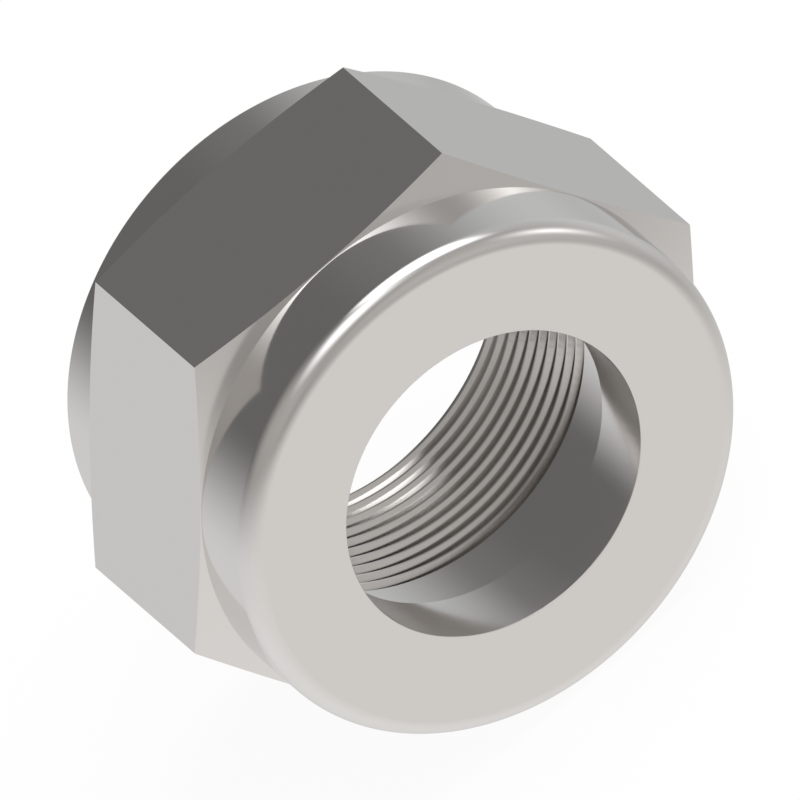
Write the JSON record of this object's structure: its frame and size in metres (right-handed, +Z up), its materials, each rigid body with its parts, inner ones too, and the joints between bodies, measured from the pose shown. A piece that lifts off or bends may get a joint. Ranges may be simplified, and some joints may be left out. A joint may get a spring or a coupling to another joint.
{
  "type": "tube nut",
  "caption": "Hexagonal tube nut with round collars at both ends, a tube hole and conical seat at one end and a fine internal thread at the other.",
  "frame": {"origin": "centre of the footprint, on the plane of the flat that the nut lies on", "axes": "+Y along the nut's axis towards the thread end, -Y towards the tube end, +X towards a corner of the hexagon, +Z up, square to the upper flat"},
  "size_m": [0.075, 0.0426, 0.065],
  "materials": {
    "nut_steel": "turned and plated steel, semi-bright"
  },
  "bodies": {
    "root": {"tube_nut": "nut_steel"}
  },
  "joints": []
}
